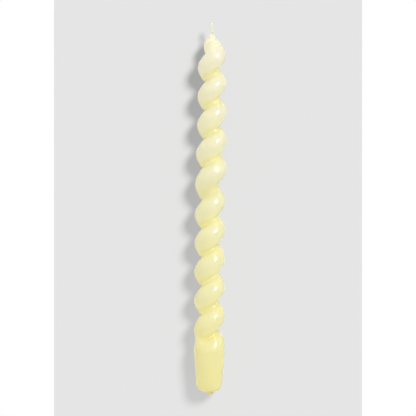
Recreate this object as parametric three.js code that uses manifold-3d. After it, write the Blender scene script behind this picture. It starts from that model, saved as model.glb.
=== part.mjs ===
// A twisted candle, about 290 mm tall, in millimetres with +Z up.
// One round rod of wax is coiled like a corkscrew until its turns touch, over a
// tapered plug that stands in a candle holder, and its wick leaves a small tip.
// The origin is on the plug's axis, level with the lowest point of the wax drip.
import * as THREE from 'three';
import { mergeVertices } from 'three/addons/utils/BufferGeometryUtils.js';
import Module from 'manifold-3d';

// Heights, one above the other from the bottom
const dripDepth = 2.1;
const plugHeight = 31.9;
const twistLength = 221;
const tipLength = 22.2;
const stemLength = 4;
const exposedWick = 8.8;

// The plug, a taper that widens upwards, with a round foot and a domed shoulder.
// The shoulder is lowest at one angle, in degrees, where the rod comes out of it,
// and rises towards the other side
const plugFootRadius = 9.7;
const plugTopRadius = 12.05;
const plugRound = 6.6;
const footRim = 0.1;
const shoulderHeightLow = 10;
const shoulderHeightHigh = 17.6;
const shoulderLowAngle = -30;

// The coiled rod, which thins upwards, and the fillets in the crease between its
// turns and between its first turn and the shoulder, where it is low and high
const rodRadiusLow = 7.7;
const rodRadiusHigh = 6.85;
const rodThinning = 3;
const coilRadius = 4.3;
const pitch = 22.3;
const firstCrestRise = 5.7;
const creaseFill = 11.5;
const plugFillLow = 0.5;
const plugFillHigh = 6.5;

// One turn of the rod is looser. Round it the rod swells and the candle steps
// sideways
const looseTurnRise = 128.6;
const looseTurnExtra = 2.67;
const looseTurnSpan = 14;
const swelling = 0.5;
const swellingRise = 145;
const swellingSpan = 54;
const sideStep = 1.2;
const sideStepRise = 136;
const sideStepSpan = 50;

// The tip, where the rod thins faster and its last turn closes under a cone round
// the stem, which has a cone of its own as its nose
const rodRadiusEnd = 3.7;
const coilRadiusEnd = 0;
const tipThinning = 3.3;
const tipTopRadius = 3.5;
const tipSlope = 1.05;
const stemRadius = 2.6;
const stemFill = 0.7;
const noseSlope = 0.62;
const noseWall = 0.5;

// The coloured coat over the core
const coatThickness = 0.6;
const coatClearance = 0.4;

// The wick, its bore and the wax film on its free end
const wickRadius = 0.7;
const wickBoreClearance = 0.2;
const wickLean = 0.6;
const wickBend = 1.5;
const filmThickness = 0.2;
const filmClearance = 0.1;
const filmSeat = 0.3;
const filmBareEnd = 0.7;

// The wax drip under the plug, round the trimmed end of the wick
const dripRadius = 2.7;
const dripNeckRadius = 1.6;
const dripOffset = 1.1;
const dripClearance = 0.3;
const dripGap = 0.1;
const dripWickDepth = 1.2;

// How fine the solids are. The candle has as many rows in each turn as columns
// round it, so that the crease between two turns runs along the grid's diagonals
const columns = 14;
const roundRows = 3;
const plugRows = 3;
const stemRows = 5;
const dripSides = 16;
const wickSides = 6;
const filmSides = 8;
const wickStep = 3.2;
const fewestSteps = 4;
const passSteps = 48;
const halvings = 30;
const weldDistance = 1e-4;

// Places that follow from the sizes
const footZ = dripDepth;
const plugTopZ = footZ + plugHeight;
const tipStartZ = plugTopZ + twistLength;
const capZ = tipStartZ + tipLength;
const stemTopZ = capZ + stemLength;
const wickTopZ = stemTopZ + exposedWick;
const firstCrestZ = plugTopZ + firstCrestRise;
const looseTurnZ = plugTopZ + looseTurnRise;
const swellingZ = plugTopZ + swellingRise;
const sideStepZ = plugTopZ + sideStepRise;
const wickEndZ = dripDepth - dripWickDepth;
const coreInset = coatThickness + coatClearance;
const wickBoreRadius = wickRadius + wickBoreClearance;
const noseRadius = wickBoreRadius + noseWall;
const noseDrop = Math.hypot(1, noseSlope) / noseSlope;
const dripHoleRadius = dripNeckRadius + dripClearance;
const plugEdge = Math.min(plugRound, plugFootRadius - dripOffset - dripHoleRadius - footRim);

// A step from 0 to 1 between two values, with a soft start and end
function softStep(value, low, high) {
  const share = THREE.MathUtils.clamp((value - low) / (high - low), 0, 1);
  return share * share * (3 - 2 * share);
}

// The larger of two values, with a round fillet of the given width between them
function roundMax(first, second, width) {
  const share = Math.max(1 - Math.abs(first - second) / width, 0);
  return Math.max(first, second) + share * share * width / 4;
}

// A step from 0 to 1 that has its middle at a height
function stepRound(z, middle, span) {
  return softStep(z, middle - span / 2, middle + span / 2);
}

// The number of turns that the rod has made at a height, 0 at its first crest
function turnsAt(z) {
  const extra = looseTurnExtra * stepRound(z, looseTurnZ, looseTurnSpan);
  return (z - firstCrestZ - extra) / pitch;
}

// The height at which the rod has made a number of turns, found by bisection
function heightAtTurns(turns) {
  let low = firstCrestZ + turns * pitch - looseTurnExtra;
  let high = firstCrestZ + turns * pitch + 2 * looseTurnExtra;
  for (let step = 0; step < halvings; step += 1) {
    const middle = (low + high) / 2;
    if (turnsAt(middle) < turns) {
      low = middle;
    } else {
      high = middle;
    }
  }
  return (low + high) / 2;
}

// The sideways place of the candle's axis at a height
function axisX(z) {
  return sideStep * stepRound(z, sideStepZ, sideStepSpan);
}

// The radius of the rod where its centre is at a height
function rodRadiusAt(z) {
  const up = THREE.MathUtils.clamp((z - plugTopZ) / twistLength, 0, 1);
  const end = THREE.MathUtils.clamp((z - tipStartZ) / tipLength, 0, 1);
  const near = softStep(swellingSpan / 2 - Math.abs(z - swellingZ), 0, swellingSpan / 2);
  const body = THREE.MathUtils.lerp(rodRadiusLow, rodRadiusHigh, up ** rodThinning);
  return THREE.MathUtils.lerp(body + swelling * near, rodRadiusEnd, end ** tipThinning);
}

// How far the rod's centre is from the axis at a height
function coilRadiusAt(z) {
  const end = THREE.MathUtils.clamp((z - tipStartZ) / tipLength, 0, 1);
  return THREE.MathUtils.lerp(coilRadius, coilRadiusEnd, end ** tipThinning);
}

// How far one pass of the rod reaches from the axis at a height and an angle:
// the farthest point there of balls as thick as the rod, strung along its coil
function passReach(z, angle, pass, inset) {
  const crestZ = heightAtTurns(angle / (2 * Math.PI) + pass);
  let reach = -rodRadiusLow;
  for (let step = 0; step <= passSteps; step += 1) {
    const t = crestZ + pitch * (step / passSteps - 0.5);
    if (t < plugTopZ || t > capZ) {
      continue;
    }
    const radius = rodRadiusAt(t) - inset;
    const coil = coilRadiusAt(t);
    const turn = angle - 2 * Math.PI * turnsAt(t);
    const under = radius ** 2 - (z - t) ** 2 - (coil * Math.sin(turn)) ** 2;
    if (under > 0) {
      reach = Math.max(reach, coil * Math.cos(turn) + Math.sqrt(under));
    }
  }
  return reach;
}

// How far the coiled rod reaches, with its passes joined by a filled crease
function twistReach(z, angle, inset) {
  const nearest = Math.floor(turnsAt(z) - angle / (2 * Math.PI));
  let reach = passReach(z, angle, nearest, inset);
  for (const pass of [nearest - 1, nearest + 1, nearest + 2]) {
    reach = roundMax(reach, passReach(z, angle, pass, inset), creaseFill);
  }
  return reach;
}

// How much a round edge takes off a radius, at a depth below the end of the body
function edgeLoss(depth, edge) {
  const left = THREE.MathUtils.clamp(edge - depth, 0, edge);
  return edge - Math.sqrt(edge ** 2 - left ** 2);
}

// How high the shoulder stands at an angle, from 0 where it is lowest to 1
function shoulderShare(angle) {
  const turned = angle - THREE.MathUtils.degToRad(shoulderLowAngle);
  return ((1 - Math.cos(turned)) / 2) ** 2;
}

// The radius of the plug, a taper under a domed shoulder
function plugReach(z, angle, inset) {
  const widest = plugTopRadius - inset;
  if (z > plugTopZ) {
    const share = shoulderShare(angle);
    const height = THREE.MathUtils.lerp(shoulderHeightLow, shoulderHeightHigh, share);
    const rise = (z - plugTopZ) / (height - inset);
    return rise < 1 ? widest * Math.sqrt(1 - rise ** 2) : 0;
  }
  const share = (z - footZ) / plugHeight;
  const taper = THREE.MathUtils.lerp(plugFootRadius, plugTopRadius, share) - inset;
  return taper - edgeLoss(z - footZ - inset, plugEdge - inset);
}

// The radius of a cone at a depth under its top. The inset moves the cone in along
// its own normal
function coneReach(topRadius, slope, depth, inset) {
  return topRadius + slope * depth - inset * Math.hypot(1, slope);
}

// The height of the nose's top, which is as wide at every inset
function noseTopZ(inset) {
  return stemTopZ - inset * noseDrop;
}

// The radius of the stem that the wick comes out of, up to its nose
function stemReach(z, inset) {
  const nose = coneReach(noseRadius, noseSlope, stemTopZ - z, inset);
  return Math.min(stemRadius - inset, nose);
}

// How far the wax reaches from its axis at a height and an angle, the inset deep
function waxReach(z, angle, inset) {
  let reach = plugReach(z, angle, inset);
  if (z > plugTopZ - rodRadiusLow) {
    const fill = THREE.MathUtils.lerp(plugFillLow, plugFillHigh, shoulderShare(angle));
    reach = roundMax(reach, twistReach(z, angle, inset), fill);
  }
  if (z > tipStartZ) {
    const cone = coneReach(tipTopRadius, tipSlope, capZ - z, inset);
    reach = roundMax(Math.min(reach, cone), stemReach(z, inset), stemFill);
  }
  return reach;
}

// The heights of the rows: the foot's round edge, the plug, the turns and the stem
function rowHeights(inset) {
  const heights = [];
  for (let row = 0; row <= roundRows; row += 1) {
    const angle = row / roundRows * Math.PI / 2;
    heights.push(footZ + inset + (plugEdge - inset) * (1 - Math.cos(angle)));
  }
  for (let row = 1; row < plugRows; row += 1) {
    heights.push(THREE.MathUtils.lerp(footZ + plugEdge, plugTopZ, row / plugRows));
  }
  const firstRow = Math.ceil(turnsAt(plugTopZ) * columns);
  const stemStartZ = capZ - inset;
  const lastRow = Math.floor(turnsAt(stemStartZ) * columns - 0.5);
  for (let row = firstRow; row <= lastRow; row += 1) {
    heights.push(heightAtTurns(row / columns));
  }
  for (let row = 0; row <= stemRows; row += 1) {
    heights.push(THREE.MathUtils.lerp(stemStartZ, noseTopZ(inset), row / stemRows));
  }
  return heights;
}

// One ring of points at a height
function ring(z, centreX, reachAt) {
  const points = [];
  for (let column = 0; column < columns; column += 1) {
    const angle = 2 * Math.PI * column / columns;
    const reach = reachAt(angle);
    points.push([centreX + reach * Math.cos(angle), reach * Math.sin(angle), z]);
  }
  return points;
}

// The rings of the wax surface at an inset, from the foot to the top of the stem
function waxRings(inset) {
  return rowHeights(inset).map((z) => (
    ring(z, axisX(z), (angle) => waxReach(z, angle, inset))
  ));
}

// Triangles between two rings, with the diagonal along the rise of the crease.
// They face out where the second ring is the higher one
function bridge(triangles, lower, upper) {
  for (let column = 0; column < columns; column += 1) {
    const next = (column + 1) % columns;
    triangles.push(lower + column, lower + next, upper + next);
    triangles.push(lower + column, upper + next, upper + column);
  }
}

// A geometry from points and triangles
function geometryFrom(points, triangles) {
  const geometry = new THREE.BufferGeometry();
  geometry.setAttribute('position', new THREE.Float32BufferAttribute(points.flat(), 3));
  geometry.setIndex(triangles);
  geometry.computeVertexNormals();
  return geometry;
}

// A closed skin from rings: each joined to the next, and the last to the first
function loopGeometry(rings) {
  const triangles = [];
  rings.forEach((points, row) => {
    const nextRow = (row + 1) % rings.length;
    bridge(triangles, row * columns, nextRow * columns);
  });
  return geometryFrom(rings.flat(), triangles);
}

// A solid from rings, closed by a fan at its lowest and at its highest ring
function stackGeometry(rings) {
  const triangles = [];
  for (let row = 0; row + 1 < rings.length; row += 1) {
    bridge(triangles, row * columns, (row + 1) * columns);
  }
  const last = (rings.length - 1) * columns;
  for (let column = 1; column + 1 < columns; column += 1) {
    triangles.push(0, column + 1, column);
    triangles.push(last, last + column, last + column + 1);
  }
  return geometryFrom(rings.flat(), triangles);
}

// The coat is open at the drip and at the wick. Its skin goes from the lower hole
// up the outside, in at the upper hole and down the inside
function coatGeometry() {
  const inner = waxRings(coatThickness).reverse();
  const topHole = (z) => ring(z, axisX(z), () => wickBoreRadius);
  const footHole = (z) => ring(z, dripOffset, () => dripHoleRadius);
  return loopGeometry([
    footHole(footZ),
    ...waxRings(0),
    topHole(stemTopZ),
    topHole(noseTopZ(coatThickness)),
    ...inner,
    footHole(footZ + coatThickness),
  ]);
}

// The wick's route: from the drip it joins the rod's centre, follows its coil
// and comes back to the axis in the tip, and its free end leans a little
class WickRoute extends THREE.Curve {
  constructor(lowZ, highZ) {
    super();
    this.lowZ = lowZ;
    this.highZ = highZ;
  }

  getPoint(share, target = new THREE.Vector3()) {
    const z = THREE.MathUtils.lerp(this.lowZ, this.highZ, share);
    const joined = softStep(z, footZ + plugEdge, plugTopZ);
    const left = softStep(z, tipStartZ, capZ);
    const coil = coilRadiusAt(z) * joined * (1 - left);
    const turn = 2 * Math.PI * turnsAt(z);
    const free = Math.max(z - stemTopZ, 0) / exposedWick;
    const x = axisX(z) + dripOffset * (1 - joined) + coil * Math.cos(turn);
    return target.set(x - wickLean * free ** wickBend, coil * Math.sin(turn), z);
  }
}

// A regular polygon as a shape or a hole
function polygon(ShapeOrPath, radius, sides) {
  const outline = new ShapeOrPath();
  for (let side = 0; side < sides; side += 1) {
    const angle = 2 * Math.PI * side / sides;
    const x = radius * Math.cos(angle);
    const y = radius * Math.sin(angle);
    if (side === 0) {
      outline.moveTo(x, y);
    } else {
      outline.lineTo(x, y);
    }
  }
  outline.closePath();
  return outline;
}

// A round bar along the wick's route
function alongWick(lowZ, highZ, shape) {
  const route = new WickRoute(lowZ, highZ);
  const steps = Math.max(Math.round(route.getLength() / wickStep), fewestSteps);
  return new THREE.ExtrudeGeometry(shape, { steps, extrudePath: route, bevelEnabled: false });
}

function wickGeometry() {
  return alongWick(wickEndZ, wickTopZ, polygon(THREE.Shape, wickRadius, wickSides));
}

// The film is a sleeve, from just over the stem to just under the wick's end
function filmGeometry() {
  const inner = wickRadius + filmClearance;
  const sleeve = polygon(THREE.Shape, inner + filmThickness, filmSides);
  sleeve.holes.push(polygon(THREE.Path, inner, filmSides));
  return alongWick(stemTopZ + filmSeat, wickTopZ - filmBareEnd, sleeve);
}

const wasm = await Module();
wasm.setup();

// A closed geometry as a solid that can be cut
function solidFrom(geometry) {
  const bare = geometry.clone();
  bare.deleteAttribute('normal');
  bare.deleteAttribute('uv');
  const merged = mergeVertices(bare, weldDistance);
  return new wasm.Manifold(new wasm.Mesh({
    numProp: 3,
    vertProperties: new Float32Array(merged.attributes.position.array),
    triVerts: new Uint32Array(merged.index.array),
  }));
}

// A solid back as a geometry
function geometryOf(solid) {
  const mesh = solid.getMesh();
  const geometry = new THREE.BufferGeometry();
  geometry.setAttribute('position', new THREE.BufferAttribute(mesh.vertProperties, 3));
  geometry.setIndex(new THREE.BufferAttribute(mesh.triVerts, 1));
  geometry.computeVertexNormals();
  return geometry;
}

// The room that the wick needs, along a stretch of its own route
function wickBore(lowZ, highZ) {
  return solidFrom(alongWick(lowZ, highZ, polygon(THREE.Shape, wickBoreRadius, wickSides)));
}

// The core's bore has the same steps as the wick, so that the two run parallel
function coreGeometry() {
  const body = solidFrom(stackGeometry(waxRings(coreInset)));
  return geometryOf(body.subtract(wickBore(wickEndZ, wickTopZ)));
}

// The drip is a round drop under a narrower neck that fills the coat's hole
function dripGeometry() {
  const dropTopZ = footZ - dripGap;
  const neckTopZ = footZ + coreInset - dripClearance;
  const profile = [new THREE.Vector2(0, 0)];
  for (let row = 1; row <= roundRows; row += 1) {
    const angle = row / roundRows * Math.PI / 2;
    profile.push(new THREE.Vector2(dripRadius * Math.sin(angle), dropTopZ * (1 - Math.cos(angle))));
  }
  profile.push(new THREE.Vector2(dripNeckRadius, dropTopZ));
  profile.push(new THREE.Vector2(dripNeckRadius, neckTopZ));
  profile.push(new THREE.Vector2(0, neckTopZ));
  const drop = new THREE.LatheGeometry(profile, dripSides);
  drop.rotateX(Math.PI / 2);
  drop.translate(dripOffset, 0, 0);
  const pocketZ = wickEndZ - wickBoreClearance;
  return geometryOf(solidFrom(drop).subtract(wickBore(pocketZ, footZ + plugEdge)));
}

function material(color, roughness) {
  return new THREE.MeshStandardMaterial({ color, roughness, metalness: 0 });
}

const materials = {
  coat: material(0xefe7b4, 0.15),
  core: material(0xf5efcf, 0.5),
  cotton: material(0xf0ead2, 0.9),
  film: material(0xf4f0d4, 0.25),
  drip: material(0xdccf79, 0.2),
};

function piece(name, geometry, finish) {
  const mesh = new THREE.Mesh(geometry, finish);
  mesh.name = name;
  return mesh;
}

const candle = new THREE.Group();
candle.add(
  piece('colour_coat', coatGeometry(), materials.coat),
  piece('wax_core', coreGeometry(), materials.core),
  piece('wick', wickGeometry(), materials.cotton),
  piece('wick_wax', filmGeometry(), materials.film),
  piece('base_drip', dripGeometry(), materials.drip),
);

export default candle;
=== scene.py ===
"""The twisted candle in its finished wax, in metres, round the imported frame.

Every surface is a grid of points, a function of a height or a distance along a
path and of an angle round it. Heights start at the lowest point of the wax drip, as
in the frame, and a rise is a height above the plug's top.
"""

import math

import bpy
import numpy as np
from mathutils import Matrix, Vector


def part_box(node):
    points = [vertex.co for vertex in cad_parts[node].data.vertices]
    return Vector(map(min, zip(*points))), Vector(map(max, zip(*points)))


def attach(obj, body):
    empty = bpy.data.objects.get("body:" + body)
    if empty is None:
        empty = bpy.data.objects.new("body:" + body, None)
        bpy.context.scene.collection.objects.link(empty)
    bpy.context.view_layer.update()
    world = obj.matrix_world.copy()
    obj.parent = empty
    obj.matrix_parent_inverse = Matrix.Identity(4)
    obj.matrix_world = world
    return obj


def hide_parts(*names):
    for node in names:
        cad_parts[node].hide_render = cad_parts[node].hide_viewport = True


MM = 0.001
TURN = 2 * math.pi

# The photograph's frame in pixels, and the places of the candle and the card in it
PHOTO_SIZE = 416
WICK_TOP_ROW = 21.6
DRIP_ROW = 394.2
DRIP_COLUMN = 208.4
CARD_LEFT_COLUMN = 53.5
CARD_RIGHT_COLUMN = 361.5

# The candle's lean to the left in the picture, as a share of its height
AXIS_LEAN = 0.005

# The camera's long lens and its sensor, in millimetres
LENS = 150
SENSOR = 36

# The coiled rod of wax, which thins towards the tip, where its coil closes
ROD_RADIUS_LOW = 7.7 * MM
ROD_RADIUS_HIGH = 6.85 * MM
ROD_THINNING = 3
ROD_RADIUS_END = 3.7 * MM
COIL_RADIUS = 4.3 * MM
COIL_RADIUS_END = 0
TIP_THINNING = 3.3
PITCH = 22.3 * MM
FIRST_CREST_RISE = 5.7 * MM

# The fillets in the creases, between the turns and over the shoulder's low and high side
CREASE_FILL = 11.5 * MM
PLUG_FILL_LOW = 0.5 * MM
PLUG_FILL_HIGH = 6.5 * MM

# The looser turn, with the rod's swelling and the candle's sideways step near it
LOOSE_TURN_RISE = 128.6 * MM
LOOSE_TURN_EXTRA = 2.67 * MM
LOOSE_TURN_SPAN = 14 * MM
SWELLING = 0.5 * MM
SWELLING_RISE = 145 * MM
SWELLING_SPAN = 54 * MM
SIDE_STEP = 1.2 * MM
SIDE_STEP_RISE = 136 * MM
SIDE_STEP_SPAN = 50 * MM

# The plug, the tip's cone, and the stem with its nose
PLUG_HEIGHT = 31.9 * MM
PLUG_FOOT_RADIUS = 9.7 * MM
PLUG_TOP_RADIUS = 12.05 * MM
PLUG_ROUND = 6.6 * MM
SHOULDER_HEIGHT_LOW = 10 * MM
SHOULDER_HEIGHT_HIGH = 17.6 * MM
SHOULDER_LOW_ANGLE = math.radians(-30)
TWIST_LENGTH = 221 * MM
TIP_LENGTH = 22.2 * MM
TIP_TOP_RADIUS = 3.5 * MM
TIP_SLOPE = 1.05
STEM_RADIUS = 2.6 * MM
STEM_FILL = 1 * MM
NOSE_RADIUS = 1.05 * MM
NOSE_SLOPE = 0.75

# The hollow that the wick leaves the stem by
HOLLOW_RADIUS = 0.8 * MM
HOLLOW_FLOOR_RADIUS = 0.6 * MM
HOLLOW_DEPTH = 0.5 * MM

# The soft waves that dipping leaves: their lengths up the candle and their heights
SLOW_WAVE = 31 * MM
SLOW_HEIGHT = 0.03 * MM
MIDDLE_WAVE = 13 * MM
MIDDLE_HEIGHT = 0.01 * MM
QUICK_WAVE = 7.3 * MM
QUICK_HEIGHT = 0.004 * MM
LONG_WAVE = 47 * MM

# How deep under the crest the painted crease shade begins, and where it is deepest
CREASE_SHADE_STARTS = 1.5 * MM
CREASE_SHADE_ENDS = 5.5 * MM

# The wick, its braid, and the film of wax on its free end
WICK_RADIUS = 0.7 * MM
WICK_LEAN = 0.8 * MM
BRAID_LAY = 3.2 * MM
STRAND_DEPTH = 0.16
FILM_RADIUS = 0.95 * MM
FILM_END_SHARE = 0.9
FILM_FROM_STEM = 0.6 * MM
FILM_FROM_TOP = 0.5 * MM
FILM_WAVE = 0.03

# The drip
DRIP_RADIUS = 2.7 * MM
DRIP_NECK_RADIUS = 1.6 * MM
DRIP_FULLNESS = 0.9
DRIP_OFFSET = 1.1 * MM
DRIP_GAP = 0.1 * MM

# The wax's colours: yellow up from the foot to the stem, paling upwards as painted light stronger near
# the top, in its clouds, and a darker yellow in its creases as painted shade
FOOT_YELLOW = (0.92, 0.84, 0.33)
LOW_YELLOW = (0.90, 0.85, 0.46)
HIGH_CREAM = (0.90, 0.86, 0.56)
STEM_CREAM = (0.92, 0.88, 0.66)
CLOUDY_CREAM = (0.91, 0.86, 0.61)
CREASE_SHADE_YELLOW = (0.78, 0.72, 0.33)

# How much of the painted crease shade the deepest crease takes on
CREASE_SHADE_SHARE = 0.6

# How far light spreads in the dyed wax, and the share of it for red, green and blue
WAX_SPREAD = 12 * MM
COLOUR_SPREADS = (1.0, 0.95, 0.12)

# The other pieces' colours
FILM_CREAM = (0.97, 0.93, 0.7)
DROP_YELLOW = (0.97, 0.93, 0.3)
CORE_CREAM = (0.88, 0.85, 0.7)
COTTON_DARK = (0.74, 0.68, 0.5)
COTTON_PALE = (0.9, 0.86, 0.72)

# The grey card behind the candle, its tone, and the share it sends back of its lamp's light
CARD_TOP = 0.4
CARD_GAP = 0.8 * MM
CARD_TONE = 0.79
CARD_SHARE_LOW = 0.041
CARD_SHARE_HIGH = 0.087
CARD_LIGHT = 5.84

# The pale floor
FLOOR_Z = -19 * MM
FLOOR_HALF = 2.5
FLOOR_COLOUR = (0.85, 0.85, 0.85)

# The lamps: each one's direction as seen from the candle, strength and width in degrees
KEY_TOWARDS = (0.56, -0.626, 0.543)
KEY_STRENGTH = 0.42
KEY_WIDTH = 27
SHINE_TOWARDS = (0.54, -0.62, 0.565)
SHINE_STRENGTH = 3.8
SHINE_WIDTH = 18.5
FILL_TOWARDS = (0, -1, 0.2)
FILL_STRENGTH = 0.3
FILL_WIDTH = 100
CARD_LAMP_TOWARDS = (0.6, -1, 0.63)
CARD_LAMP_STRENGTH = 20
CARD_LAMP_WIDTH = 17.5
WORLD_STRENGTH = 0.81

# How finely the surfaces are made, in rows, columns and steps
COAT_COLUMNS = 128
FLAT_ROWS = 7
FOOT_ROWS = 15
PLUG_ROWS = 30
TWIST_ROWS = 600
STEM_ROWS = 24
COAT_BATCHES = 12
BALLS_IN_A_PASS = 97
LADDER_STEPS = 4000
WICK_COLUMNS = 24
WICK_ROWS = 2000
FILM_COLUMNS = 32
FILM_ROWS = 90
DRIP_COLUMNS = 48
DRIP_ROWS = 24

# How far under the twist its close rows begin, and the angle of the drop's first ring
CLOSE_ROWS_BELOW = 4 * MM
POLE_ANGLE = 0.02

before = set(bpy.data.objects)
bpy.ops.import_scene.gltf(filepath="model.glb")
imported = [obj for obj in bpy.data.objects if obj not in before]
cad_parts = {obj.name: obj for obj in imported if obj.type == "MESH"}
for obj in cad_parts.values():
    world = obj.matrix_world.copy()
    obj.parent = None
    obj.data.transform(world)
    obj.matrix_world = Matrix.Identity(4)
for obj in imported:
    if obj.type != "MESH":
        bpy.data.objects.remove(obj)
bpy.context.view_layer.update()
coat_low, coat_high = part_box("colour_coat")
wick_low, wick_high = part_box("wick")
drip_low, drip_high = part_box("base_drip")

FOOT_Z = coat_low[2]
STEM_TOP_Z = coat_high[2]
WICK_END_Z = wick_low[2]
WICK_TOP_Z = wick_high[2]
PLUG_TOP_Z = FOOT_Z + PLUG_HEIGHT
TIP_START_Z = PLUG_TOP_Z + TWIST_LENGTH
CAP_Z = TIP_START_Z + TIP_LENGTH
FIRST_CREST_Z = PLUG_TOP_Z + FIRST_CREST_RISE

# The size of a pixel at the candle, the picture's middle and the camera's distance
PIXEL = (WICK_TOP_Z - drip_low[2]) / (DRIP_ROW - WICK_TOP_ROW)
MIDDLE = (PHOTO_SIZE - 1) / 2
MIDDLE_Z = drip_low[2] + (DRIP_ROW - MIDDLE) * PIXEL
MIDDLE_X = (MIDDLE - DRIP_COLUMN) * PIXEL - AXIS_LEAN * MIDDLE_Z
CAMERA_DISTANCE = PHOTO_SIZE * PIXEL * LENS / SENSOR


def soft_step(value, low, high):
    """0 below low, 1 above high and 3 s^2 - 2 s^3 between them."""
    share = np.clip((value - low) / (high - low), 0, 1)
    return share * share * (3 - 2 * share)


def step_round(z, middle, span):
    """A soft step from 0 to 1 with its middle at a height."""
    return soft_step(z, middle - span / 2, middle + span / 2)


def round_max(first, second, width):
    """The larger value, with a fillet of the given width where the two are close."""
    share = np.maximum(1 - np.abs(first - second) / width, 0)
    return np.maximum(first, second) + share * share * width / 4


def turns_at(z):
    """Turns made by the rod at a height: height over pitch, less the loose turn's extra."""
    extra = LOOSE_TURN_EXTRA * step_round(z, PLUG_TOP_Z + LOOSE_TURN_RISE, LOOSE_TURN_SPAN)
    return (z - FIRST_CREST_Z - extra) / PITCH


def height_at_turns(turns):
    """The height for a number of turns, read back from a fine ladder of heights."""
    ladder = np.linspace(FOOT_Z - 4 * PITCH, STEM_TOP_Z + 4 * PITCH, LADDER_STEPS)
    return np.interp(turns, turns_at(ladder), ladder)


def axis_x(z):
    """The sideways place of the candle's axis, which steps over near the loose turn."""
    return SIDE_STEP * step_round(z, PLUG_TOP_Z + SIDE_STEP_RISE, SIDE_STEP_SPAN)


def rod_radius(z):
    """The rod thins by a power of the height, swells near the loose turn and ends thin."""
    up = np.clip((z - PLUG_TOP_Z) / TWIST_LENGTH, 0, 1)
    end = np.clip((z - TIP_START_Z) / TIP_LENGTH, 0, 1)
    away = np.abs(z - PLUG_TOP_Z - SWELLING_RISE)
    swollen = SWELLING * (1 - soft_step(away, 0, SWELLING_SPAN / 2))
    body = ROD_RADIUS_LOW + (ROD_RADIUS_HIGH - ROD_RADIUS_LOW) * up ** ROD_THINNING + swollen
    return body + (ROD_RADIUS_END - body) * end ** TIP_THINNING


def coil_radius(z):
    """The distance of the rod's centre from the axis, which falls off in the tip."""
    end = np.clip((z - TIP_START_Z) / TIP_LENGTH, 0, 1)
    return COIL_RADIUS + (COIL_RADIUS_END - COIL_RADIUS) * end ** TIP_THINNING


def pass_reach(z, angle, turn_number):
    """How far one pass of the rod reaches from the axis.

    The rod is a string of balls with centres on the coil. In the direction of the
    angle, a ball at height t with radius a and coil radius b reaches
    b cos(turn) + sqrt(a^2 - (z - t)^2 - (b sin(turn))^2). The reach of the pass is
    the largest of these, made finer by a parabola through the best three.
    """
    crest = height_at_turns(angle / TURN + turn_number)
    steps = np.linspace(-0.5, 0.5, BALLS_IN_A_PASS)
    centre = crest[..., None] + PITCH * steps
    radius = rod_radius(centre)
    coil = coil_radius(centre)
    turn = angle[..., None] - TURN * turns_at(centre)
    under = radius ** 2 - (z[..., None] - centre) ** 2 - (coil * np.sin(turn)) ** 2
    on_rod = (under > 0) & (centre > PLUG_TOP_Z) & (centre < CAP_Z)
    reach = np.where(on_rod, coil * np.cos(turn) + np.sqrt(np.maximum(under, 0)), -ROD_RADIUS_LOW)
    best = np.clip(reach.argmax(axis=-1), 1, len(steps) - 2)[..., None]
    before, middle, after = (np.take_along_axis(reach, best + shift, -1)[..., 0] for shift in (-1, 0, 1))
    bend = before - 2 * middle + after
    smooth = (before > 0) & (after > 0) & (middle >= before) & (middle >= after) & (bend < 0)
    rise = (after - before) ** 2 / (8 * np.where(smooth, -bend, 1))
    return np.maximum(reach.max(axis=-1), np.where(smooth, middle + rise, middle))


def twist_reach(z, angle):
    """The reach of the coiled rod: its four nearest passes, joined by filled creases."""
    nearest = np.floor(turns_at(z) - angle / TURN)
    reach = pass_reach(z, angle, nearest)
    for offset in (-1, 1, 2):
        reach = round_max(reach, pass_reach(z, angle, nearest + offset), CREASE_FILL)
    return reach


def edge_loss(depth, edge):
    """What a round edge of radius r takes off: r - sqrt(r^2 - (r - depth)^2), then nothing."""
    left = np.clip(edge - depth, 0, edge)
    return edge - np.sqrt(edge ** 2 - left ** 2)


def shoulder_share(angle):
    """How high the shoulder stands: 0 where it is lowest, 1 opposite, (1 - cos)^2 / 4."""
    return ((1 - np.cos(angle - SHOULDER_LOW_ANGLE)) / 2) ** 2


def plug_reach(z, angle):
    """A straight taper with a round foot, under a shoulder of radius r sqrt(1 - rise^2)."""
    height = SHOULDER_HEIGHT_LOW + (SHOULDER_HEIGHT_HIGH - SHOULDER_HEIGHT_LOW) * shoulder_share(angle)
    rise = np.clip((z - PLUG_TOP_Z) / height, 0, 1)
    dome = PLUG_TOP_RADIUS * np.sqrt(1 - rise ** 2)
    share = (z - FOOT_Z) / PLUG_HEIGHT
    taper = PLUG_FOOT_RADIUS + (PLUG_TOP_RADIUS - PLUG_FOOT_RADIUS) * share
    return np.where(z > PLUG_TOP_Z, dome, taper - edge_loss(z - FOOT_Z, PLUG_ROUND))


def wax_reach(z, angle):
    """The wax surface: plug and twist joined, and the tip's cone that closes on the stem.

    The cone and the nose narrow evenly with the height and the stem is straight. The
    tip takes the smaller of twist and cone and of stem and nose, and the larger of the
    two results.
    """
    fill = PLUG_FILL_LOW + (PLUG_FILL_HIGH - PLUG_FILL_LOW) * shoulder_share(angle)
    reach = round_max(plug_reach(z, angle), twist_reach(z, angle), fill)
    cone = TIP_TOP_RADIUS + TIP_SLOPE * (CAP_Z - z)
    nose = NOSE_RADIUS + NOSE_SLOPE * (STEM_TOP_Z - z)
    stem = -round_max(-STEM_RADIUS, -nose, STEM_FILL)
    tip = round_max(np.minimum(reach, cone), stem, STEM_FILL)
    return np.where(z > TIP_START_Z, tip, reach)


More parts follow.
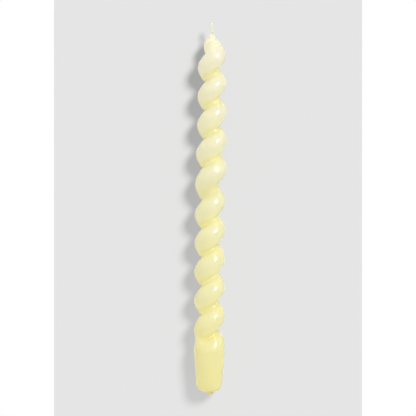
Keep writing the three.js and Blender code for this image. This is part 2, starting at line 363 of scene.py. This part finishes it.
def grid_object(name, points, attributes=None):
    """A closed mesh from a grid of points, rows of rings that a pole closes at each end.

    points has the shape (rows, columns, 3), going up on the outside, and each ring
    counter-clockwise seen from above, so that the faces point out.
    """
    rows, columns, _ = points.shape
    low_pole = points[0].mean(axis=0)
    high_pole = points[-1].mean(axis=0)
    vertices = np.vstack([points.reshape(-1, 3), low_pole, high_pole])
    row = np.arange(rows - 1)[:, None] * columns
    column = np.arange(columns)[None, :]
    after = (column + 1) % columns
    quads = np.stack([row + column, row + after, row + columns + after, row + columns + column], -1)
    ring = np.arange(columns)
    ring_after = (ring + 1) % columns
    last = (rows - 1) * columns
    low_fan = np.stack([ring_after, ring, np.full(columns, rows * columns)], -1)
    high_fan = np.stack([last + ring, last + ring_after, np.full(columns, rows * columns + 1)], -1)
    mesh = bpy.data.meshes.new(name)
    faces = quads.reshape(-1, 4).tolist() + low_fan.tolist() + high_fan.tolist()
    mesh.from_pydata(vertices.tolist(), [], faces)
    mesh.polygons.foreach_set("use_smooth", np.ones(len(faces), dtype=bool))
    for attribute_name, values in (attributes or {}).items():
        ends = [values[0].mean(), values[-1].mean()]
        attribute = mesh.attributes.new(attribute_name, "FLOAT", "POINT")
        attribute.data.foreach_set("value", np.concatenate([values.ravel(), ends]).astype(np.float32))
    mesh.update()
    piece = bpy.data.objects.new(name, mesh)
    bpy.context.collection.objects.link(piece)
    return piece


def round_rings(radii, heights, angle, centre_x):
    """Rings of given radii and heights round a line at centre_x."""
    reach = radii[:, None] * np.ones_like(angle)
    x = centre_x + reach * np.cos(angle)
    y = reach * np.sin(angle)
    return np.stack([x, y, heights[:, None] * np.ones_like(angle)], -1)


def coat_rows():
    """Heights of the rows: close in the round foot and the stem, wide on the plug."""
    quarter = np.linspace(0, math.pi / 2, FOOT_ROWS)
    foot = FOOT_Z + PLUG_ROUND * (1 - np.cos(quarter))
    twist_low = PLUG_TOP_Z - CLOSE_ROWS_BELOW
    plug = np.linspace(FOOT_Z + PLUG_ROUND, twist_low, PLUG_ROWS)[1:]
    twist = np.linspace(twist_low, CAP_Z, TWIST_ROWS)[1:]
    stem = np.linspace(CAP_Z, STEM_TOP_Z, STEM_ROWS)[1:]
    return np.concatenate([foot, plug, twist, stem])


def unevenness(z, angle):
    """Soft waves left by dipping: a few sines of height and angle, out of step."""
    slow = np.sin(z / SLOW_WAVE * TURN + 2 * angle + 0.4)
    middle = np.sin(z / MIDDLE_WAVE * TURN - 3 * angle + 1.9)
    quick = np.sin(z / QUICK_WAVE * TURN + angle + 3.1) * np.sin(z / LONG_WAVE * TURN + 5 * angle)
    return SLOW_HEIGHT * slow + MIDDLE_HEIGHT * middle + QUICK_HEIGHT * quick


def make_coat():
    """The outer wax: reach of the wax at each height and angle, with a little unevenness.

    Below, flat rings go in from the round foot to the drip's neck. Above, the hollow of
    the wick closes the stem.
    """
    angle = np.arange(COAT_COLUMNS) * TURN / COAT_COLUMNS
    heights = coat_rows()
    z, around = np.meshgrid(heights, angle, indexing="ij")
    reach = np.empty_like(z)
    for rows in np.array_split(np.arange(len(heights)), COAT_BATCHES):
        reach[rows] = wax_reach(z[rows], around[rows])
    crest = rod_radius(z) + coil_radius(z)
    on_twist = (z > PLUG_TOP_Z) & (z < TIP_START_Z)
    # Painted shade in the creases: a mask that grows with the depth under the crest
    crease_shade = soft_step(crest - reach, CREASE_SHADE_STARTS, CREASE_SHADE_ENDS) * on_twist
    calm = soft_step(z, FOOT_Z, FOOT_Z + PLUG_ROUND) * soft_step(CAP_Z - z, 0, TIP_LENGTH)
    reach = reach + unevenness(z, around) * calm
    body = np.stack([axis_x(z) + reach * np.cos(around), reach * np.sin(around), z], -1)
    hollow_radii = np.array([HOLLOW_RADIUS, HOLLOW_FLOOR_RADIUS])
    hollow_heights = np.array([STEM_TOP_Z, STEM_TOP_Z - HOLLOW_DEPTH])
    hollow = round_rings(hollow_radii, hollow_heights, angle, SIDE_STEP)
    inwards = np.linspace(1, 0, FLAT_ROWS, endpoint=False)
    flat_radius = PLUG_FOOT_RADIUS - PLUG_ROUND
    foot_radii = flat_radius - (flat_radius - DRIP_NECK_RADIUS) * inwards
    foot = round_rings(foot_radii, np.full(len(foot_radii), FOOT_Z), angle, 0)
    foot[..., 0] += DRIP_OFFSET * inwards[:, None]
    points = np.concatenate([foot, body, hollow])
    masks = np.concatenate([np.zeros(foot.shape[:2]), crease_shade, np.zeros(hollow.shape[:2])])
    return grid_object("wax_coat", points, {"crease_shade": masks})


def wick_centre(z):
    """The wick's route: from the drip into the rod's coil, back to the axis in the tip.

    It lies at coil cos(turn) and coil sin(turn) from the axis, and coil is the rod's
    coil radius, let in by soft steps. The free end leans evenly over to the left.
    """
    joined = soft_step(z, FOOT_Z + PLUG_ROUND, PLUG_TOP_Z)
    parted = soft_step(z, TIP_START_Z, CAP_Z)
    coil = coil_radius(z) * joined * (1 - parted)
    turn = TURN * turns_at(z)
    free = np.maximum(z - STEM_TOP_Z, 0) / (WICK_TOP_Z - STEM_TOP_Z)
    x = axis_x(z) + DRIP_OFFSET * (1 - joined) + coil * np.cos(turn) - WICK_LEAN * free
    return np.stack([x, coil * np.sin(turn), z], -1)


def along_wick(name, heights, radius_at, columns):
    """A tube round the wick's route, its radius a function of distance and angle.

    A point is the centre plus radius (side cos(angle) + other sin(angle)), where side
    and other stand square to the route and to each other.
    """
    centre = wick_centre(heights)
    tangent = np.gradient(centre, heights, axis=0)
    step = np.linalg.norm(np.diff(centre, axis=0), axis=1)
    distance = np.concatenate([[0], np.cumsum(step)])
    tangent /= np.linalg.norm(tangent, axis=1)[:, None]
    side = np.cross(np.array([0.0, 1.0, 0.0]), tangent)
    side /= np.linalg.norm(side, axis=1)[:, None]
    other = np.cross(tangent, side)
    angle = np.arange(columns) * TURN / columns
    radius = radius_at(distance[:, None], angle[None, :])[..., None]
    along_side = side[:, None, :] * np.cos(angle)[None, :, None]
    along_other = other[:, None, :] * np.sin(angle)[None, :, None]
    return grid_object(name, centre[:, None, :] + radius * (along_side + along_other))


def make_wick():
    """The cotton braid: two sets of three strands that wind opposite ways and cross.

    A set stands as high as |cos(1.5 (angle - turn))|, or with angle + turn the other
    way round, and the higher set shows.
    """

    def braid(distance, angle):
        right = np.abs(np.cos(1.5 * (angle - TURN * distance / BRAID_LAY)))
        left = np.abs(np.cos(1.5 * (angle + TURN * distance / BRAID_LAY)))
        return WICK_RADIUS * (1 - STRAND_DEPTH + STRAND_DEPTH * np.maximum(right, left))

    heights = np.linspace(WICK_END_Z, WICK_TOP_Z, WICK_ROWS)
    return along_wick("braided_wick", heights, braid, WICK_COLUMNS)


def make_film():
    """The wax film on the free end: thick in the middle, drawn in at its ends.

    At a share s of its length its thickness goes as the root of 1 - (2 s - 1)^6, and
    two slight waves run along and round it.
    """
    end_radius = WICK_RADIUS * FILM_END_SHARE

    def film(distance, angle):
        share = distance / distance[-1]
        ends = np.sqrt(np.clip(1 - (2 * share - 1) ** 6, 0, 1))
        waves = FILM_WAVE * (np.cos(angle * 2 + 9 * share) + np.cos(14 * share + angle))
        return end_radius + (FILM_RADIUS - end_radius) * ends * (1 + waves)

    heights = np.linspace(STEM_TOP_Z + FILM_FROM_STEM, WICK_TOP_Z - FILM_FROM_TOP, FILM_ROWS)
    return along_wick("wick_film", heights, film, FILM_COLUMNS)


def make_drip():
    """The set drop: a little fuller than half an ellipsoid, with a neck up into the foot.

    Over a quarter turn q its radius goes as sin(q)^0.9 and its height as 1 - cos(q).
    """
    angle = np.arange(DRIP_COLUMNS) * TURN / DRIP_COLUMNS
    quarter = np.linspace(POLE_ANGLE, math.pi / 2, DRIP_ROWS)
    top = FOOT_Z - DRIP_GAP
    neck_radii = [DRIP_NECK_RADIUS, DRIP_NECK_RADIUS]
    radii = np.concatenate([DRIP_RADIUS * np.sin(quarter) ** DRIP_FULLNESS, neck_radii])
    heights = np.concatenate([top * (1 - np.cos(quarter)), [top, drip_high[2]]])
    return grid_object("wax_drop", round_rings(radii, heights, angle, DRIP_OFFSET))


def new_material(name):
    material = bpy.data.materials.new(name)
    material.use_nodes = True
    return material, material.node_tree.nodes, material.node_tree.links


def add(nodes, kind, **values):
    """A node with its settings. A key that names an input sets its default value."""
    node = nodes.new(kind)
    for key, value in values.items():
        if hasattr(node, key):
            setattr(node, key, value)
        else:
            node.inputs[key.replace("_", " ")].default_value = value
    return node


def make_surface_group():
    """Fine unevenness of poured or dipped wax, as a height and a cloudy mask for its colour."""
    group = bpy.data.node_groups.new("wax_surface", "ShaderNodeTree")
    sockets = group.interface
    sockets.new_socket("Scale", in_out="INPUT", socket_type="NodeSocketFloat")
    sockets.new_socket("Height", in_out="OUTPUT", socket_type="NodeSocketFloat")
    sockets.new_socket("Cloud", in_out="OUTPUT", socket_type="NodeSocketFloat")
    nodes, links = group.nodes, group.links
    given = nodes.new("NodeGroupInput")
    result = nodes.new("NodeGroupOutput")
    place = add(nodes, "ShaderNodeTexCoord")
    ripple = add(nodes, "ShaderNodeTexNoise", Detail=3.0, Roughness=0.45)
    cloud = add(nodes, "ShaderNodeTexNoise", Detail=2.0, Roughness=0.5, Scale=70.0)
    links.new(place.outputs["Object"], ripple.inputs["Vector"])
    links.new(given.outputs["Scale"], ripple.inputs["Scale"])
    links.new(place.outputs["Object"], cloud.inputs["Vector"])
    links.new(ripple.outputs["Fac"], result.inputs["Height"])
    links.new(cloud.outputs["Fac"], result.inputs["Cloud"])
    return group


def colour_ramp(nodes, stops):
    """A ramp from a list of places and colours."""
    ramp = nodes.new("ShaderNodeValToRGB")
    ramp.color_ramp.interpolation = "EASE"
    elements = ramp.color_ramp.elements
    while len(elements) < len(stops):
        elements.new(0.5)
    for element, (place, colour) in zip(elements, stops):
        element.position = place
        element.color = (*colour, 1)
    return ramp


def make_coat_material(surface):
    """Glossy yellow wax, cream at the tip and yellower at the plug as painted light stronger near the
    top, and yellower in the creases as painted shade.
    """
    material, nodes, links = new_material("dyed_wax_and_painted_shading")
    shader = nodes["Principled BSDF"]
    place = add(nodes, "ShaderNodeTexCoord")
    split = add(nodes, "ShaderNodeSeparateXYZ")
    height = add(nodes, "ShaderNodeMapRange")
    height.inputs["From Min"].default_value = FOOT_Z
    height.inputs["From Max"].default_value = STEM_TOP_Z
    # Partly painted light: the yellow is the wax's own, and its paling up to the cream stem stands for
    # light stronger near the top
    ramp = colour_ramp(nodes, [
        (0.0, FOOT_YELLOW),
        (0.35, LOW_YELLOW),
        (0.7, HIGH_CREAM),
        (1.0, STEM_CREAM),
    ])
    uneven = nodes.new("ShaderNodeGroup")
    uneven.node_tree = surface
    uneven.inputs["Scale"].default_value = 260
    cloudy = add(nodes, "ShaderNodeMapRange", To_Min=0.0, To_Max=0.25)
    paler = add(nodes, "ShaderNodeMix", data_type="RGBA")
    paler.inputs["B"].default_value = (*CLOUDY_CREAM, 1)
    # Painted crease shade: the mask lays the crease's darker yellow over the wax
    crease_shade = add(nodes, "ShaderNodeAttribute", attribute_name="crease_shade")
    depth = add(nodes, "ShaderNodeMath", operation="MULTIPLY")
    depth.inputs[1].default_value = CREASE_SHADE_SHARE
    shaded_in_creases = add(nodes, "ShaderNodeMix", data_type="RGBA")
    shaded_in_creases.inputs["B"].default_value = (*CREASE_SHADE_YELLOW, 1)
    bump = add(nodes, "ShaderNodeBump", Strength=0.03, Distance=0.0004)
    links.new(place.outputs["Object"], split.inputs["Vector"])
    links.new(split.outputs["Z"], height.inputs["Value"])
    links.new(height.outputs["Result"], ramp.inputs["Fac"])
    links.new(uneven.outputs["Cloud"], cloudy.inputs["Value"])
    links.new(cloudy.outputs["Result"], paler.inputs["Factor"])
    links.new(ramp.outputs["Color"], paler.inputs["A"])
    links.new(crease_shade.outputs["Fac"], depth.inputs[0])
    links.new(depth.outputs["Value"], shaded_in_creases.inputs["Factor"])
    links.new(paler.outputs["Result"], shaded_in_creases.inputs["A"])
    links.new(shaded_in_creases.outputs["Result"], shader.inputs["Base Color"])
    links.new(uneven.outputs["Height"], bump.inputs["Height"])
    links.new(bump.outputs["Normal"], shader.inputs["Normal"])
    shader.inputs["Roughness"].default_value = 0.12
    shader.inputs["IOR"].default_value = 1.45
    shader.subsurface_method = "BURLEY"
    shader.inputs["Subsurface Weight"].default_value = 1.0
    shader.inputs["Subsurface Radius"].default_value = COLOUR_SPREADS
    shader.inputs["Subsurface Scale"].default_value = WAX_SPREAD
    shader.inputs["Coat Weight"].default_value = 0.35
    shader.inputs["Coat Roughness"].default_value = 0.5
    shader.inputs["Coat IOR"].default_value = 1.45
    return material


def make_wax_material(name, surface, colour, roughness, spread, bump_strength):
    """Plain wax of one colour with a cloudy tone and the shared fine unevenness."""
    material, nodes, links = new_material(name)
    shader = nodes["Principled BSDF"]
    uneven = nodes.new("ShaderNodeGroup")
    uneven.node_tree = surface
    uneven.inputs["Scale"].default_value = 500
    tone = colour_ramp(nodes, [
        (0.3, tuple(0.93 * channel for channel in colour)),
        (0.7, colour),
    ])
    bump = add(nodes, "ShaderNodeBump", Strength=bump_strength, Distance=0.0003)
    links.new(uneven.outputs["Cloud"], tone.inputs["Fac"])
    links.new(tone.outputs["Color"], shader.inputs["Base Color"])
    links.new(uneven.outputs["Height"], bump.inputs["Height"])
    links.new(bump.outputs["Normal"], shader.inputs["Normal"])
    shader.inputs["Roughness"].default_value = roughness
    shader.inputs["Subsurface Weight"].default_value = 0.7
    shader.inputs["Subsurface Radius"].default_value = (1.0, 0.85, 0.4)
    shader.inputs["Subsurface Scale"].default_value = spread
    return material


def make_cotton_material():
    """Waxed cotton: fine fuzz all over, lighter and darker, and a matt, cream tone."""
    material, nodes, links = new_material("waxed_cotton")
    shader = nodes["Principled BSDF"]
    place = add(nodes, "ShaderNodeTexCoord")
    fuzz = add(nodes, "ShaderNodeTexNoise", Scale=4000.0, Detail=3.0)
    tone = colour_ramp(nodes, [(0.3, COTTON_DARK), (0.7, COTTON_PALE)])
    bump = add(nodes, "ShaderNodeBump", Strength=0.4, Distance=0.0001)
    links.new(place.outputs["Object"], fuzz.inputs["Vector"])
    links.new(fuzz.outputs["Fac"], tone.inputs["Fac"])
    links.new(tone.outputs["Color"], shader.inputs["Base Color"])
    links.new(fuzz.outputs["Fac"], bump.inputs["Height"])
    links.new(bump.outputs["Normal"], shader.inputs["Normal"])
    shader.inputs["Roughness"].default_value = 0.7
    return material


def make_floor_material():
    """A plain pale floor."""
    material, nodes, _ = new_material("floor_pale")
    shader = nodes["Principled BSDF"]
    shader.inputs["Base Color"].default_value = (*FLOOR_COLOUR, 1)
    shader.inputs["Roughness"].default_value = 0.9
    shader.inputs["Specular IOR Level"].default_value = 0.0
    return material


def make_card_material():
    """A pale grey card: its own glow, and the light of its lamp outside the shadow.

    The two add up to the same grey all over the card, and the lamp's part of it
    grows with the height. From behind the card is clear.
    """
    material, nodes, links = new_material("card_grey")
    shader = nodes["Principled BSDF"]
    place = add(nodes, "ShaderNodeTexCoord")
    split = add(nodes, "ShaderNodeSeparateXYZ")
    lit_share = add(nodes, "ShaderNodeMapRange", clamp=False)
    lit_share.inputs["From Min"].default_value = drip_low[2]
    lit_share.inputs["From Max"].default_value = WICK_TOP_Z
    lit_share.inputs["To Min"].default_value = CARD_SHARE_LOW
    lit_share.inputs["To Max"].default_value = CARD_SHARE_HIGH
    glow = add(nodes, "ShaderNodeMath", operation="MULTIPLY_ADD")
    glow.inputs[1].default_value = -CARD_LIGHT
    glow.inputs[2].default_value = CARD_TONE
    behind = add(nodes, "ShaderNodeNewGeometry")
    clear = add(nodes, "ShaderNodeBsdfTransparent")
    mix = add(nodes, "ShaderNodeMixShader")
    links.new(place.outputs["Object"], split.inputs["Vector"])
    links.new(split.outputs["Z"], lit_share.inputs["Value"])
    links.new(lit_share.outputs["Result"], shader.inputs["Base Color"])
    links.new(lit_share.outputs["Result"], glow.inputs[0])
    links.new(glow.outputs["Value"], shader.inputs["Emission Strength"])
    shader.inputs["Emission Color"].default_value = (1, 1, 1, 1)
    shader.inputs["Roughness"].default_value = 0.9
    shader.inputs["Specular IOR Level"].default_value = 0.0
    links.new(behind.outputs["Backfacing"], mix.inputs["Fac"])
    links.new(shader.outputs["BSDF"], mix.inputs[1])
    links.new(clear.outputs["BSDF"], mix.inputs[2])
    links.new(mix.outputs["Shader"], nodes["Material Output"].inputs["Surface"])
    return material


def stage_plane(name, corners, material):
    """A flat plane of the stage, its corners counter-clockwise seen from its front."""
    mesh = bpy.data.meshes.new(name)
    mesh.from_pydata(corners, [], [(0, 1, 2, 3)])
    mesh.materials.append(material)
    plane = bpy.data.objects.new(name, mesh)
    bpy.context.collection.objects.link(plane)
    return plane


def make_stage():
    """The grey card right behind the candle, and a pale floor from there to the front.

    The card stands upright in the picture, so it leans as much as the camera does.
    """
    back = max(coat_high[1], -coat_low[1]) + CARD_GAP
    scale = PIXEL * (1 + back / CAMERA_DISTANCE)

    def corner(column, z):
        x = MIDDLE_X + (column - MIDDLE) * scale - AXIS_LEAN * (z - MIDDLE_Z)
        return (x, back, z)

    card = stage_plane("back_card", [
        corner(CARD_LEFT_COLUMN, FLOOR_Z), corner(CARD_RIGHT_COLUMN, FLOOR_Z),
        corner(CARD_RIGHT_COLUMN, CARD_TOP), corner(CARD_LEFT_COLUMN, CARD_TOP),
    ], make_card_material())
    card.visible_diffuse = False
    card.visible_shadow = False
    stage_plane("floor", [
        (-FLOOR_HALF, -FLOOR_HALF, FLOOR_Z), (FLOOR_HALF, -FLOOR_HALF, FLOOR_Z),
        (FLOOR_HALF, back, FLOOR_Z), (-FLOOR_HALF, back, FLOOR_Z),
    ], make_floor_material())
    return card


def add_lamp(name, towards, strength, width):
    """A distant soft lamp, placed by the direction from the candle towards it."""
    lamp = bpy.data.lights.new(name, "SUN")
    lamp.energy = strength
    lamp.angle = math.radians(width)
    holder = bpy.data.objects.new(name, lamp)
    bpy.context.collection.objects.link(holder)
    holder.rotation_euler = Vector(towards).to_track_quat("Z", "Y").to_euler()
    return holder


def make_lights(card):
    """Even light, two lamps from one side, a soft fill in front and a lamp for the card.

    The key lamp lights the wax but not its gloss, and the shine lamp makes the gloss
    alone. The card's lamp lights nothing but the card. Seen directly or in the gloss,
    the world is plain white, and its even light is a little weaker.
    """
    key = add_lamp("key", KEY_TOWARDS, KEY_STRENGTH, KEY_WIDTH)
    shine = add_lamp("shine", SHINE_TOWARDS, SHINE_STRENGTH, SHINE_WIDTH)
    key.visible_glossy = False
    shine.visible_diffuse = False
    add_lamp("fill", FILL_TOWARDS, FILL_STRENGTH, FILL_WIDTH)
    card_lamp = add_lamp("card_lamp", CARD_LAMP_TOWARDS, CARD_LAMP_STRENGTH, CARD_LAMP_WIDTH)
    lit = bpy.data.collections.new("lit_card")
    lit.objects.link(card)
    card_lamp.light_linking.receiver_collection = lit
    world = bpy.data.worlds.new("even_light")
    bpy.context.scene.world = world
    world.use_nodes = True
    nodes, links = world.node_tree.nodes, world.node_tree.links
    light = nodes["Background"]
    light.inputs["Color"].default_value = (1, 1, 1, 1)
    light.inputs["Strength"].default_value = WORLD_STRENGTH
    seen = add(nodes, "ShaderNodeBackground", Color=(1, 1, 1, 1), Strength=1.0)
    path = add(nodes, "ShaderNodeLightPath")
    direct = add(nodes, "ShaderNodeMath", operation="MAXIMUM")
    shown = add(nodes, "ShaderNodeMath", operation="MAXIMUM")
    mix = add(nodes, "ShaderNodeMixShader")
    links.new(path.outputs["Is Camera Ray"], direct.inputs[0])
    links.new(path.outputs["Is Glossy Ray"], direct.inputs[1])
    links.new(direct.outputs["Value"], shown.inputs[0])
    links.new(path.outputs["Is Transmission Ray"], shown.inputs[1])
    links.new(shown.outputs["Value"], mix.inputs["Fac"])
    links.new(light.outputs["Background"], mix.inputs[1])
    links.new(seen.outputs["Background"], mix.inputs[2])
    links.new(mix.outputs["Shader"], nodes["World Output"].inputs["Surface"])


def make_camera():
    """A long lens square to the candle, so that a pixel is one size over its height."""
    data = bpy.data.cameras.new("photo_camera")
    data.lens = LENS
    data.sensor_width = SENSOR
    camera = bpy.data.objects.new("photo_camera", data)
    bpy.context.collection.objects.link(camera)
    lean = math.atan(AXIS_LEAN)
    right = Vector((math.cos(lean), 0, math.sin(lean)))
    up = Vector((-math.sin(lean), 0, math.cos(lean)))
    back = Vector((0, -1, 0))
    turned = Matrix((right, up, back)).transposed().to_4x4()
    camera.matrix_world = Matrix.Translation((MIDDLE_X, -CAMERA_DISTANCE, MIDDLE_Z)) @ turned
    bpy.context.scene.camera = camera


def dress(piece, material, slot, *nodes):
    """Gives a piece its material and body and hides the solids that it stands for; the slot is not used.
    """
    piece.data.materials.append(material)
    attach(piece, "root")
    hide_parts(*nodes)


def dress_core(material):
    """The core is covered all round, so it keeps the solid's shape, in its own wax."""
    for material_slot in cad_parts["wax_core"].material_slots:
        material_slot.material = material


make_camera()
make_lights(make_stage())
surface = make_surface_group()
dress(make_coat(), make_coat_material(surface), "coloured_wax", "colour_coat")
dress(make_wick(), make_cotton_material(), "wick_cotton", "wick")
film_wax = make_wax_material(
    "film_wax", surface, FILM_CREAM, roughness=0.25, spread=0.5 * MM, bump_strength=0.1)
dress(make_film(), film_wax, "wick_film_wax", "wick_wax")
drip_wax = make_wax_material(
    "drip_wax", surface, DROP_YELLOW, roughness=0.2, spread=6 * MM, bump_strength=0.1)
dress(make_drip(), drip_wax, "drip_wax", "base_drip")
core_wax = make_wax_material(
    "core_wax", surface, CORE_CREAM, roughness=0.5, spread=2 * MM, bump_strength=0.3)
dress_core(core_wax)

bpy.context.scene.view_settings.view_transform = "Standard"
